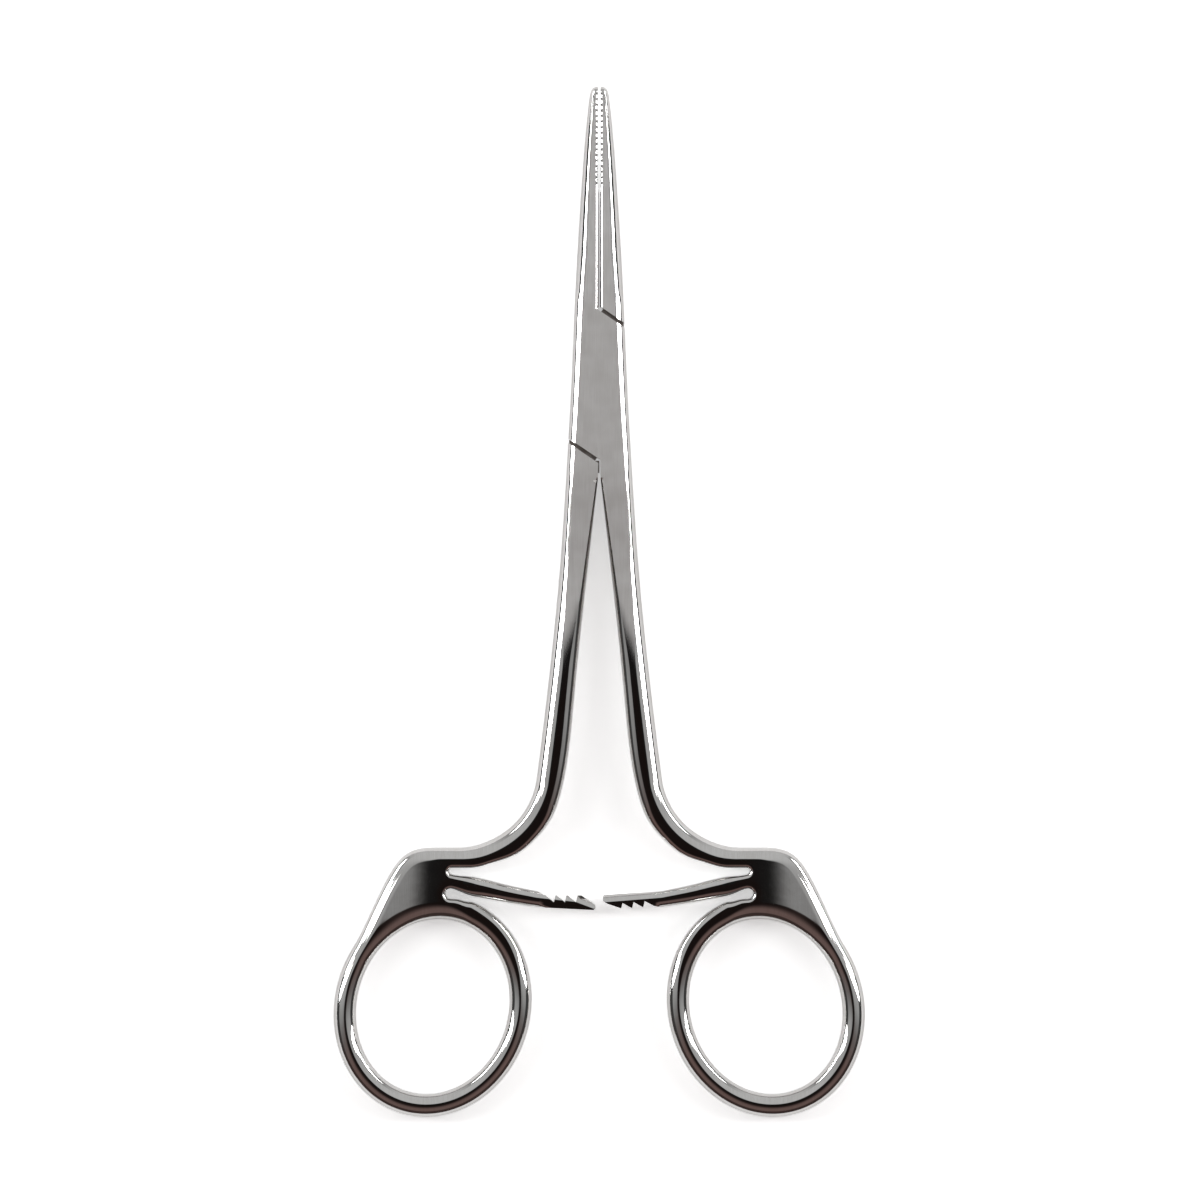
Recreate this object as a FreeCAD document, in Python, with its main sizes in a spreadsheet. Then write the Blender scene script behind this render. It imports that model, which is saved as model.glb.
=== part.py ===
import FreeCAD, Part
import Sketcher
import math
import os

from FreeCAD import Vector

# Box-lock haemostatic forceps, 14 cm. Pivot axis on the origin, +Y to the jaw tips,
# z = 0 is the flat the box rests on. Three pieces: the box arm carries the left jaw and
# the right shank, the tongue arm carries the right jaw and the left shank, the lock pin
# joins them. Each arm is one forging with its finger ring and its ratchet bar.

doc = FreeCAD.newDocument("forceps")
sheet = doc.addObject("Spreadsheet::Sheet", "Sizes")
SIZES = (
    # jaws and box, upward from the pivot
    ("jaw_reach", 40.47),
    ("nose_length", 3.17),
    ("box_reach", 8.2),
    ("wall_apex", 10.0),
    # box and shanks, downward from the pivot, each after the one before
    ("wall_apex_low", 10.15),
    ("fork_drop", 2.85),
    ("shank_length", 40.7),
    ("flare_drop", 9.13),
    ("ring_drop", 21.62),
    # half width of the closed pair down its length
    ("tip_half", 1.15),
    ("nose_half", 1.53),
    ("mid_half", 2.39),
    ("neck_half", 3.03),
    ("box_half", 3.44),
    ("pivot_half", 3.79),
    ("fork_half", 4.53),
    ("bow_half", 5.26),
    ("shank_half", 7.18),
    ("flare_half", 8.54),
    # gaps between the closed arms
    ("tip_gap", 0.31),
    ("root_gap", 0.48),
    ("fork_gap", 0.41),
    ("seam_gap", 0.62),
    # thicknesses
    ("box_thick", 4.4),
    ("tip_thick", 2.4),
    ("shank_thick", 3.6),
    ("bar_thick", 2.6),
    ("shank_width", 3.74),
    ("bow_extra", 0.08),
    # box lock
    ("wall_angle", 34.0),
    ("tongue_thick", 1.6),
    ("tongue_clear", 0.05),
    ("hub_radius", 3.0),
    ("limb_out", 3.2),
    ("limb_in", 0.2),
    ("limb_clear", 0.1),
    ("stop_clear", 0.05),
    ("open_angle", 45.0),
    ("pin_radius", 1.5),
    ("pin_clear", 0.03),
    # web between shank, ring and bar
    ("flare_spread", 10.36),
    ("web_flat", 3.5),
    ("web_width", 2.76),
    ("web_lip", 1.4),
    ("slot_in", 1.7),
    # finger ring
    ("ring_out", 3.72),
    ("ring_tilt", 16.6),
    ("hole_short", 10.26),
    ("hole_long", 12.0),
    ("ring_band", 3.04),
    ("ring_band_end", 3.15),
    # rounding of the forging
    ("edge_round", 1.1),
    ("ring_round", 1.2),
    ("slot_round", 0.42),
    ("nose_round", 0.95),
    ("jaw_bevel", 0.25),
    ("bend_radius", 120.0),
    # jaw serrations
    ("serration_count", 17),
    ("serration_pitch", 0.76),
    ("serration_depth", 0.26),
    ("serration_start", 1.02),
    # ratchet bars: fall and width from the slot root to the nose
    ("slot_width", 0.26),
    ("bar_width_root", 2.25),
    ("bar_fall", 1.98),
    ("bar_width_mid", 2.4),
    ("bar_fall_end", 1.01),
    ("bar_width_end", 2.11),
    ("bar_nose", 0.5),
    ("crest_fall", 0.52),
    ("crest_width", 1.96),
    ("ratchet_lead", 5.66),
    ("ratchet_tail", 2.34),
    ("ratchet_count", 3),
    ("ratchet_pitch", 1.5),
    ("ratchet_depth_up", 0.92),
    ("ratchet_depth_low", 0.72),
    ("ratchet_rise", 0.09),
)
for row, (alias, value) in enumerate(SIZES, 1):
    sheet.set(f"A{row}", alias)
    sheet.set(f"B{row}", str(value))
    sheet.setAlias(f"B{row}", alias)
doc.recompute()


def size(alias):
    return float(getattr(sheet, alias))


def spline(points, start=None, end=None):
    curve = Part.BSplineCurve()
    if start:
        curve.interpolate(Points=points, InitialTangent=start, FinalTangent=end)
    else:
        curve.interpolate(Points=points)
    return curve


def at_height(curve, y):
    low, high = curve.FirstParameter, curve.LastParameter
    falling = curve.value(low).y > curve.value(high).y
    for _ in range(60):
        middle = (low + high) / 2
        if (curve.value(middle).y > y) == falling:
            low = middle
        else:
            high = middle
    return (low + high) / 2


def part_of(curve, y_from, y_to):
    piece = curve.copy()
    a, b = sorted((at_height(curve, y_from), at_height(curve, y_to)))
    piece.segment(a, b)
    return piece


def between(a, b, shares):
    return [Vector(a.x + (b.x - a.x) * u, a.y + (b.y - a.y) * v, 0) for u, v in shares]


def flipped(curves):
    """The curves on the other side of the axis."""
    turned = [curve.copy() for curve in curves]
    for curve in turned:
        curve.mirror(Vector(0, 0, 0), Vector(0, 1, 0))
    return turned


# shape of the flares between shank and web as shares of their own box
FLARE = ((0.08, 0.3), (0.25, 0.6), (0.61, 0.895))
FLARE_IN = ((0.053, 0.227), (0.14, 0.454), (0.318, 0.69), (0.523, 0.858), (0.755, 0.943))
SHOULDER = ((0.31, 0.05), (0.42, 0.12), (0.53, 0.245))

# levels that follow from the sizes
fork_reach = size("wall_apex_low") + size("fork_drop")
flare_reach = fork_reach + size("shank_length")
bow_reach = fork_reach + 0.2654 * size("shank_length")
shank_reach = fork_reach + 0.7334 * size("shank_length")
web_reach = flare_reach + size("flare_drop")
web_left = size("flare_half") + size("flare_spread")
slot_root = web_left + size("slot_in")
ring_x = web_left + size("ring_out")
ring_y = web_reach + size("ring_drop")
jaw_length = size("jaw_reach") - size("box_reach")

# outer edge of the closed pair, right side, jaw tip to flare
side = spline(
    [
        Vector(size("tip_half"), size("jaw_reach"), 0),
        Vector(size("nose_half"), size("jaw_reach") - size("nose_length"), 0),
        Vector(size("mid_half"), size("box_reach") + 0.5857 * jaw_length, 0),
        Vector(size("neck_half"), size("box_reach") + 0.2696 * jaw_length, 0),
        Vector(size("box_half"), size("box_reach"), 0),
        Vector(size("pivot_half"), 0, 0),
        Vector(size("fork_half"), -fork_reach, 0),
        Vector(size("bow_half"), -bow_reach, 0),
        Vector(size("shank_half"), -shank_reach, 0),
        Vector(size("flare_half"), -flare_reach, 0),
    ]
)
# the box walls end on slanting seams beside the axis, the shoulders of the tongue arm
# stand off them by the seam gap
slope = math.tan(math.radians(size("wall_angle")))


def seam_height(x, lower, raised):
    apex = size("wall_apex_low") if lower else size("wall_apex")
    return apex + raised - slope * x


def seam_point(lower, raised):
    """Where a slanting seam meets the outer edge, as a point on the right side."""
    turn = -1 if lower else 1
    high = side.FirstParameter
    low = side.LastParameter
    if not lower:
        high, low = low, high
    for _ in range(60):
        middle = (low + high) / 2
        p = side.value(middle)
        if turn * p.y > seam_height(p.x, lower, raised):
            low = middle
        else:
            high = middle
    return side.value(middle)


def bent(run, radius):
    """Straight runs joined by tangent arcs."""
    curves = []
    start = run[0]
    for before, corner, after in zip(run, run[1:], run[2:]):
        into = (corner - before).normalize()
        away = (after - corner).normalize()
        turn = into.getAngle(away)
        reach = radius * math.tan(turn / 2)
        normal = (away - into).normalize()
        centre = corner + normal * (radius / math.cos(turn / 2))
        a = corner - into * reach
        b = corner + away * reach
        curves += [Part.LineSegment(start, a), Part.Arc(a, centre - normal * radius, b)]
        start = b
    return curves + [Part.LineSegment(start, run[-1])]


def shank_outline(y_start):
    """Outer edge from y_start down, round the ring and up the inner edge to the fork."""
    tilt = math.radians(size("ring_tilt"))
    middle = Vector(ring_x, -ring_y, 0)
    across = Vector(math.cos(tilt), math.sin(tilt), 0)
    along = Vector(-math.sin(tilt), math.cos(tilt), 0)
    short = size("hole_short") + size("ring_band")
    long = size("hole_long") + size("ring_band_end")
    ring = Part.Ellipse(middle + along * long, middle + across * short, middle)
    leave = ring.parameter(middle + across * short + along * (0.3 * long))
    low = 0
    high = leave
    for _ in range(60):
        arrive = (low + high) / 2
        if ring.value(arrive).x < slot_root - 2 * size("slot_round"):
            low = arrive
        else:
            high = arrive
    flare = Vector(size("flare_half"), -flare_reach, 0)
    left = Vector(web_left, -web_reach, 0)
    right = Vector(web_left + size("web_flat"), -web_reach, 0)
    outward = Vector(1, 0, 0)
    down = side.tangent(side.LastParameter)[0]
    out = ring.tangent(leave)[0]
    if out.y > 0:
        out = out * -1
    start = ring.value(leave)
    top = ring.value(arrive)
    level = ring.tangent(arrive)[0]
    below = top + level * ((slot_root - top.x) / level.x)
    root = Vector(below.x, -web_reach - size("web_width"), 0)
    lip = Vector(web_left - size("web_lip"), root.y, 0)
    halfway = (below + root) / 2
    roots = bent([top, below, halfway], size("slot_round")) + bent([halfway, root, lip], size("slot_round"))
    width = size("shank_width")
    flare_in = flare - Vector(width, 0, 0)
    fork = Vector(size("fork_gap") / 2, -fork_reach, 0)
    shank_in = Vector(size("shank_half") - width, -shank_reach, 0)
    bow_in = Vector(size("bow_half") - width - size("bow_extra"), -bow_reach, 0)
    inner = [lip] + between(flare_in, lip, FLARE_IN)[::-1] + [flare_in, shank_in, bow_in, fork]
    curves = [
        part_of(side, y_start, flare.y),
        spline([flare] + between(flare, left, FLARE) + [left], down, outward),
        Part.LineSegment(left, right),
        spline([right] + between(right, start, SHOULDER) + [start], outward, out),
        Part.ArcOfEllipse(ring, leave, arrive + 2 * math.pi),
    ] + roots
    curves.append(spline(inner, outward * -1, (fork - bow_in).normalize()))
    return curves, fork


def datum(body, role):
    return next(f for f in body.Origin.OriginFeatures if f.Role == role)


def new_body(label):
    body = doc.addObject("PartDesign::Body", label)
    body.setExpression("Placement.Base.z", "Sizes.box_thick / 2")
    return body


def sketch(body, name, curves, role="XY_Plane"):
    made = body.newObject("Sketcher::SketchObject", name)
    made.AttachmentSupport = (datum(body, role), [""])
    made.MapMode = "FlatFace"
    made.addGeometry(curves, False)
    return made


def feature(body, kind, name, profile, thickness):
    made = body.newObject("PartDesign::" + kind, name)
    made.Profile = profile
    made.SideType = "Symmetric"
    made.setExpression("Length", thickness)
    doc.recompute()
    return made


def cut(body, name, profile, thickness="2 * Sizes.box_thick"):
    before = body.Tip.Shape.Length
    made = feature(body, "Pocket", name, profile, thickness)
    assert abs(made.Shape.Length - before) > 1e-6, name + " cuts nothing"
    return made


def loop(points):
    return [Part.LineSegment(a, b) for a, b in zip(points, points[1:] + points[:1])]


def middle_of(edge):
    return edge.valueAt((edge.FirstParameter + edge.LastParameter) / 2)


def on_curves(point, curves):
    flat = Vector(point.x, point.y, 0)
    return any(flat.distanceToPoint(c.value(c.parameter(flat))) < 0.002 for c in curves)


def edges_over(shape, curves):
    """Upper and lower edges of the shape that lie over the given outline curves."""
    names = []
    for i, edge in enumerate(shape.Edges, 1):
        a = edge.valueAt(edge.FirstParameter)
        b = edge.valueAt(edge.LastParameter)
        if a.z * b.z > 0.8 and all(on_curves(p, curves) for p in (a, middle_of(edge), b)):
            names.append(f"Edge{i}")
    return names


def dress(body, kind, name, base, names, alias):
    made = body.newObject("PartDesign::" + kind, name)
    made.Base = (base, names)
    made.setExpression("Size" if kind == "Chamfer" else "Radius", "Sizes." + alias)
    doc.recompute()
    return made


def repeat(body, name, original, direction, count, pitch):
    made = body.newObject("PartDesign::LinearPattern", name)
    made.Originals = [original]
    made.Direction = direction
    made.Mode = "Spacing"
    made.setExpression("Offset", pitch)
    made.setExpression("Occurrences", count)
    body.Tip = made
    doc.recompute()
    return made


def taper(body, stations, name):
    """Cuts the thickness seen from the side down to stations of reach and half thickness."""
    over = size("box_thick")
    curves = []
    for turn in (1, -1):
        run = [Vector(y, turn * z, 0) for y, z in stations]
        corners = [run[-1], Vector(run[-1].x, turn * over, 0), Vector(run[0].x, turn * over, 0), run[0]]
        curves += bent(run, size("bend_radius"))
        curves += [Part.LineSegment(a, b) for a, b in zip(corners, corners[1:])]
    profile = sketch(body, name + "Profile", curves, "YZ_Plane")
    return cut(body, name, profile, "20 * Sizes.hole_long")


def taper_jaw(body):
    half = size("box_thick") / 2
    tip = (size("jaw_reach") + 1, size("tip_thick") / 2)
    return taper(body, (tip, (size("wall_apex") + 2, half), (size("wall_apex") - 1, half)), "JawTaper")


def taper_shank(body):
    half = size("box_thick") / 2
    thin = size("shank_thick") / 2
    end = -ring_y - 2 * size("hole_long")
    start = -fork_reach + size("fork_drop")
    stations = ((start, half), (-fork_reach, half), (-bow_reach, thin), (end, thin))
    return taper(body, stations, "ShankTaper")


def circle(body, name, radius):
    made = sketch(body, name, [Part.Circle(Vector(0, 0, 0), Vector(0, 0, 1), 1)])
    made.addConstraint(Sketcher.Constraint("Coincident", 0, 3, -1, 1))
    made.addConstraint(Sketcher.Constraint("Radius", 0, 1))
    made.setExpression("Constraints[1]", radius)
    return made


def finish_jaw(body, turn):
    """Rounded nose and serrations of one jaw; turn is -1 for the left jaw, 1 for the right."""
    corner = Vector(turn * size("tip_half"), size("jaw_reach"), 0)
    edge = Vector(turn * size("nose_half"), size("jaw_reach") - size("nose_length"), 0)
    inner = Vector(turn * size("tip_gap") / 2, size("jaw_reach"), 0)
    nose = bent([edge, corner, inner], size("nose_round"))[1]
    a = nose.value(nose.FirstParameter)
    b = nose.value(nose.LastParameter)
    out = Vector(turn, 0, 0)
    up = Vector(0, 1, 0)
    low, high = sorted((a, b), key=lambda p: p.y)
    away = [low, low + out, low + out + up * 2, high + up, high]
    outline = [nose] + [Part.LineSegment(p, q) for p, q in zip(away, away[1:])]
    cut(body, "Nose", sketch(body, "NoseProfile", outline))
    root = Vector(turn * size("root_gap") / 2, size("wall_apex"), 0)
    down = (root - inner).normalize()
    across = Vector(-down.y, down.x, 0) if turn > 0 else Vector(down.y, -down.x, 0)
    start = inner + down * size("serration_start")
    half = size("serration_pitch") * 0.42
    wide = down * (half + 0.1)
    open_side = start - across * 0.1
    groove = [open_side - wide, start + across * size("serration_depth"), open_side + wide]
    profile = sketch(body, "SerrationProfile", loop(groove))
    profile.addGeometry(Part.LineSegment(start, start + down), True)
    first = cut(body, "Serration", profile)
    repeat(body, "Serrations", first, (profile, ["Axis0"]), "Sizes.serration_count", "Sizes.serration_pitch")


def finish_bow(body, turn):
    """Ring opening with rounded rims; turn as for the jaws, but for the shank's side."""
    tilt = math.radians(size("ring_tilt"))
    middle = Vector(turn * ring_x, -ring_y, 0)
    across = Vector(math.cos(tilt), turn * math.sin(tilt), 0)
    along = Vector(-turn * math.sin(tilt), math.cos(tilt), 0)
    hole = Part.Ellipse(middle + along * size("hole_long"), middle + across * size("hole_short"), middle)
    opened = cut(body, "Opening", sketch(body, "OpeningProfile", [hole]))
    dress(body, "Fillet", "OpeningRound", opened, edges_over(opened.Shape, [hole]), "ring_round")


def add_bar(body, turn, teeth_up):
    """Ratchet bar from the web to its nose beside the axis, with sawteeth near the nose."""

    def at(x, y):
        return Vector(turn * x, -y, 0)

    nose = size("bar_nose")
    first = nose + size("ratchet_lead")
    end = first + size("ratchet_tail")
    inside = slot_root + size("web_lip")
    middle = end + (inside - end) / 3
    top_root = web_reach + size("web_width") + size("slot_width")
    top_mid = top_root + size("bar_fall")
    top_end = top_mid + size("bar_fall_end")
    pitch = size("ratchet_pitch")
    crest = top_end + size("crest_fall")
    base = crest + size("crest_width")
    top = [at(inside, top_root), at(middle, top_mid), at(end, top_end)]
    low = [
        at(inside, top_root + size("bar_width_root")),
        at(middle, top_mid + size("bar_width_mid")),
        at(end, top_end + size("bar_width_end")),
    ]
    if teeth_up:
        front = [
            at(end - 0.47 * size("ratchet_tail"), crest),
            at(first - 2.5 * pitch, crest),
            at(nose + 0.1, base - 0.7),
            at(nose, base - 0.5),
            at(nose, base - 0.2),
            at(nose + 0.3, base),
        ]
        depth = size("ratchet_depth_up")
        rise = 0
    else:
        front = [
            at(nose + 0.1, crest),
            at(nose, crest + 0.1),
            at(nose, base - 1.2),
            at(nose + 0.6, base - 0.85),
            at(first - 2.1 * pitch, base - 0.25),
        ]
        depth = size("ratchet_depth_low")
        rise = size("ratchet_rise")
    run = [top[-1]] + front + [low[-1]]
    outline = [spline(top), spline(low)]
    outline += [Part.LineSegment(a, b) for a, b in zip(run, run[1:])]
    outline.append(Part.LineSegment(low[0], top[0]))
    feature(body, "Pad", "Bar", sketch(body, "BarOutline", outline), "Sizes.bar_thick")
    # the steep face of each tooth looks to the web, the long face to the nose
    face = crest if teeth_up else base - 0.25 - 2.1 * rise * pitch
    into = 1 if teeth_up else -1
    root = at(first, face + into * depth)
    steep = at(first - 0.28 * depth, face - into * 0.3 * depth)
    ramp = at(first + 1.8 * 0.75 * pitch, face - into * 0.8 * depth)
    gap = sketch(body, "ToothGapProfile", loop([root, steep, ramp]))
    gap.addGeometry(Part.LineSegment(root, root + Vector(-turn, -rise, 0)), True)
    tooth = cut(body, "ToothGap", gap)
    repeat(body, "Ratchet", tooth, (gap, ["Axis0"]), "Sizes.ratchet_count", "Sizes.ratchet_pitch")


wall_top = seam_point(False, 0)
wall_low = seam_point(True, 0)
shoulder_top = seam_point(False, size("seam_gap"))
shoulder_low = seam_point(True, size("seam_gap"))
limb_in = size("limb_in") - size("limb_clear")
reach = size("wall_apex") + 2

# box arm: left jaw, box walls, right shank
box_arm = new_body("female_arm")
lower, fork = shank_outline(wall_top.y)
upper = flipped([part_of(side, size("jaw_reach"), wall_low.y)])
apex_top = Vector(0.08, seam_height(0.08, False, 0), 0)
apex_low = Vector(-0.04, -seam_height(0.04, True, 0), 0)
tip_in = Vector(-size("tip_gap") / 2, size("jaw_reach"), 0)
root_in = Vector(-size("root_gap") / 2, apex_top.y + size("root_gap") / 2, 0)
run = [Vector(-size("tip_half"), size("jaw_reach"), 0), tip_in, root_in, apex_top, wall_top]
fork_top = Vector(fork.x * 0.6, apex_low.y, 0)
crotch = [fork, fork_top, apex_low, Vector(-wall_low.x, wall_low.y, 0)]
outline = lower + upper
for corners in (run, crotch):
    outline += [Part.LineSegment(a, b) for a, b in zip(corners, corners[1:])]
feature(box_arm, "Pad", "Blank", sketch(box_arm, "Outline", outline), "Sizes.box_thick")
taper_jaw(box_arm)
blank = taper_shank(box_arm)
soft = dress(box_arm, "Fillet", "Round", blank, edges_over(blank.Shape, lower + upper), "edge_round")
inner_line = [Part.LineSegment(tip_in, root_in)]
dress(box_arm, "Chamfer", "Bevel", soft, edges_over(soft.Shape, inner_line), "jaw_bevel")
finish_jaw(box_arm, -1)
finish_bow(box_arm, 1)
add_bar(box_arm, 1, False)

# room for the tongue: closed beside the jaw and the shank, open where it swings out
angle = math.radians(size("open_angle"))
stop = Vector(math.cos(angle), -math.sin(angle), 0)
along = Vector(math.sin(angle), math.cos(angle), 0)
stop_from = size("limb_out") + size("stop_clear")
wide = size("fork_half") + 2
corner = stop * stop_from + along * ((-limb_in - stop_from * stop.x) / along.x)
outer_stop = stop * stop_from + along * ((wide - stop_from * stop.x) / along.x)
half = [Vector(limb_in, reach, 0), Vector(wide, reach, 0), outer_stop, corner]
room = half + [p * -1 for p in half]
slot = sketch(box_arm, "TongueRoom", loop(room))
cut(box_arm, "Box", slot, "Sizes.tongue_thick + 2 * Sizes.tongue_clear")
cut(box_arm, "PinHole", circle(box_arm, "PinHoleProfile", "Sizes.pin_radius"))

# tongue arm: right jaw, tongue through the box, left shank
tongue_arm = new_body("male_arm")
limb_out = size("limb_out")
inside = size("limb_in")
hub = size("hub_radius")
tall = math.sqrt(hub ** 2 - inside ** 2)
shoulder = size("wall_apex") - inside
right_limb = [
    Vector(inside, tall, 0),
    Vector(inside, shoulder, 0),
    Vector(inside + 0.7, shoulder + 1, 0),
    Vector(inside + 0.7, reach, 0),
    Vector(limb_out, reach, 0),
    Vector(limb_out, 0, 0),
    Vector(hub, 0, 0),
]
left_limb = [p * -1 for p in right_limb]
tongue = [Part.LineSegment(a, b) for a, b in zip(right_limb, right_limb[1:])]
tongue += [Part.LineSegment(a, b) for a, b in zip(left_limb, left_limb[1:])]
diagonal = Vector(-hub, hub, 0) * math.sqrt(0.5)
tongue.append(Part.Arc(right_limb[0], diagonal, left_limb[-1]))
tongue.append(Part.Arc(left_limb[0], diagonal * -1, right_limb[-1]))
gap = size("seam_gap")
bow, fork = shank_outline(shoulder_low.y)
heel = Vector(fork.x * 0.6, -seam_height(fork.x * 0.6, True, gap), 0)
run = [fork, heel, shoulder_low]
bow = flipped(bow)
shank = bow + flipped([Part.LineSegment(a, b) for a, b in zip(run, run[1:])])
feature(tongue_arm, "Pad", "Shank", sketch(tongue_arm, "ShankOutline", shank), "Sizes.box_thick")
blank = taper_shank(tongue_arm)
dress(tongue_arm, "Fillet", "ShankRound", blank, edges_over(blank.Shape, bow), "edge_round")
feature(tongue_arm, "Pad", "Tongue", sketch(tongue_arm, "TongueOutline", tongue), "Sizes.tongue_thick")
jaw_edge = [part_of(side, size("jaw_reach"), shoulder_top.y)]
root_in = Vector(size("root_gap") / 2, 0, 0)
heel = Vector(root_in.x + 0.3, seam_height(root_in.x + 0.3, False, gap), 0)
root_in.y = heel.y + 0.3
tip_in = Vector(size("tip_gap") / 2, size("jaw_reach"), 0)
run = [shoulder_top, heel, root_in, tip_in, Vector(size("tip_half"), size("jaw_reach"), 0)]
jaw = jaw_edge + [Part.LineSegment(a, b) for a, b in zip(run, run[1:])]
feature(tongue_arm, "Pad", "Jaw", sketch(tongue_arm, "JawOutline", jaw), "Sizes.box_thick")
blank = taper_jaw(tongue_arm)
soft = dress(tongue_arm, "Fillet", "JawRound", blank, edges_over(blank.Shape, jaw_edge), "edge_round")
inner_line = [Part.LineSegment(tip_in, root_in)]
dress(tongue_arm, "Chamfer", "Bevel", soft, edges_over(soft.Shape, inner_line), "jaw_bevel")
finish_jaw(tongue_arm, 1)
finish_bow(tongue_arm, -1)
add_bar(tongue_arm, -1, True)
cut(tongue_arm, "PinBore", circle(tongue_arm, "PinBoreProfile", "Sizes.pin_radius + Sizes.pin_clear"))

# lock pin, flush with both walls
lock_pin = new_body("lock_pin")
feature(lock_pin, "Pad", "Pin", circle(lock_pin, "PinProfile", "Sizes.pin_radius"), "Sizes.box_thick")

doc.recompute()
for thing in doc.Objects:
    assert "Invalid" not in thing.State and "Error" not in thing.State, thing.Name
os.makedirs("parts", exist_ok=True)
for body in (box_arm, tongue_arm, lock_pin):
    assert not body.Shape.isNull() and body.Shape.isValid(), body.Label
    assert len(body.Shape.Solids) == 1, body.Label + " is not one solid"
    body.Shape.exportStep(f"parts/{body.Label}.step")
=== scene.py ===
import math

import bpy
import numpy as np
from mathutils.geometry import delaunay_2d_cdt
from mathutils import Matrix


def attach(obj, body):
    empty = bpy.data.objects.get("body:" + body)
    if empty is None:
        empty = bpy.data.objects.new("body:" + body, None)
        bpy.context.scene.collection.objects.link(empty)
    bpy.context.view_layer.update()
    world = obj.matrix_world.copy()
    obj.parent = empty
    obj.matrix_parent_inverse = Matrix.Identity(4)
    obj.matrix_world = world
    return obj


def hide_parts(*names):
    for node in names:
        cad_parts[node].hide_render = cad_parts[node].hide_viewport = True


# Box-lock haemostatic forceps in polished and satin stainless steel. Lengths below are in
# millimetres from the pivot, measured down on the mid-plane, and MM turns them to metres.
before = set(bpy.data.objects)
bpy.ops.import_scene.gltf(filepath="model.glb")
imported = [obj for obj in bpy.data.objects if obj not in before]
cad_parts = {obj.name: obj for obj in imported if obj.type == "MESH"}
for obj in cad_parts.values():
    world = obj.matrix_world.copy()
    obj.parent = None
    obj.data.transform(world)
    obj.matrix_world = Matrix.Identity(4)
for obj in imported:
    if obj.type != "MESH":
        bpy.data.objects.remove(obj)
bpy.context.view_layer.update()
MM = 0.001
MID = 2.2

# sizes of the forging, as in the solids
JAW = 40.47
FORK = 13.0
BOW = 23.8
BOW_HALF = 5.26
SHANK = (7.18, -42.85)
FLARE = (8.54, -53.7)
WEB = -62.83
WEB_LEFT = 18.9
WEB_RIGHT = 22.4
SHANK_WIDTH = 3.74
TIP_GAP = 0.31
ROOT_GAP = 0.48
SEAM = 0.62
WALL_UP = 10.0
WALL_LOW = 10.15
WALL_SLOPE = math.tan(math.radians(34.0))
RING = np.array([22.62, -84.45])
TILT = math.radians(16.6)
HOLE = (10.26, 12.0)
RING_EDGE = (13.3, 15.15)
NOSE_ROUND = 0.95
SERRATIONS = 17
SERRATION_START = 1.02
SERRATION_PITCH = 0.76
SERRATION_DEPTH = 0.26
BAR_NOSE = 0.5
BAR_HALF = 1.3
TEETH = 3
TOOTH_PITCH = 1.5
# half thickness along the forceps
THICK_AT = (-112.0, -BOW, -FORK, 12.0, 41.47, 60.0)
THICK_HALF = (1.8, 1.8, 2.2, 2.2, 1.2, 0.57)
# shape of the flares and of the shoulder, as shares of the box between their ends
FLARE_OUT = ((0.08, 0.3), (0.25, 0.6), (0.61, 0.895))
FLARE_IN = ((0.053, 0.227), (0.14, 0.454), (0.318, 0.69), (0.523, 0.858), (0.755, 0.943))
SHOULDER = ((0.31, 0.05), (0.42, 0.12), (0.53, 0.245))

# box lock: the pin and its bore, the tongue's hub and half thickness, the half height of
# its room in the box, and the stop face at the open angle
PIN_RADIUS = 1.5
BORE_RADIUS = 1.53
HUB = 3.0
LIMB_IN = 0.2
LIMB_OUT = 3.2
TONGUE_HALF = 0.8
ROOM_HALF = 0.85
ROOM_END = 12.0
ROOM_WIDE = 6.5
STOP_FAR = 3.25
OPEN_ANGLE = math.radians(45)

# rounding of the outer edge from the ring up to the jaw tips: the place along the forceps,
# the radius, and how far in it reaches before the ground flat cuts it
OUTER_AT = (-80.0, -66.0, -40.0, -29.0, -13.0, -2.0, 9.0, 18.0, 40.0)
OUTER_RADIUS = (1.6, 1.84, 1.84, 1.7, 1.5, 1.45, 1.6, 1.84, 1.0)
OUTER_WIDTH = (1.6, 1.84, 1.84, 1.1, 0.9, 1.0, 1.15, 1.36, 0.75)
# the same of the inner edge of the shanks, from the slot up to the fork
INNER_AT = (-65.0, -57.0, -40.0, -29.0, -13.0)
INNER_RADIUS = (0.5, 1.2, 1.2, 1.3, 1.0)
INNER_WIDTH = (0.5, 1.2, 1.2, 0.6, 0.2)
HOLE_ROUND = 1.5
WEB_HOLE_ROUND = 2.3
JAW_BEVEL = 0.13
BEVEL_SLOPE = 1.1
# the web's crown, by the distance from the middle line
CROWN_FROM = 18.6
CROWN_FULL = 27.0
CROWN_SLOPE = 0.12
BARREL = 0.012
# what a rounded edge leaves over the mid-plane, and how much more it leaves in the box
LEFT_OVER = 0.1
LEFT_OVER_BOX = 0.86
# where each of these comes in: along the forceps the crown, the barrel, the box, the satin
# and its slanting end, and along and across the larger round of a ring opening
CROWN_ALONG = (-79.0, -72.0)
BARREL_ALONG = (-45.0, -25.0)
BOX_ALONG = (-14.0, -11.0)
SATIN_ALONG = (-48.0, -42.0)
SATIN_SLANT = (-40.0, -31.0)
HOLE_ALONG = (-80.0, -73.0)
HOLE_ACROSS = (17.0, 21.0)
# dark plates of painted shade: half height under the seams and in the crotch, half height and
# level under the serrations
PLATE_HALF = 0.78
GROOVE_SHADE_STRIP = (0.2, -0.75)

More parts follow.
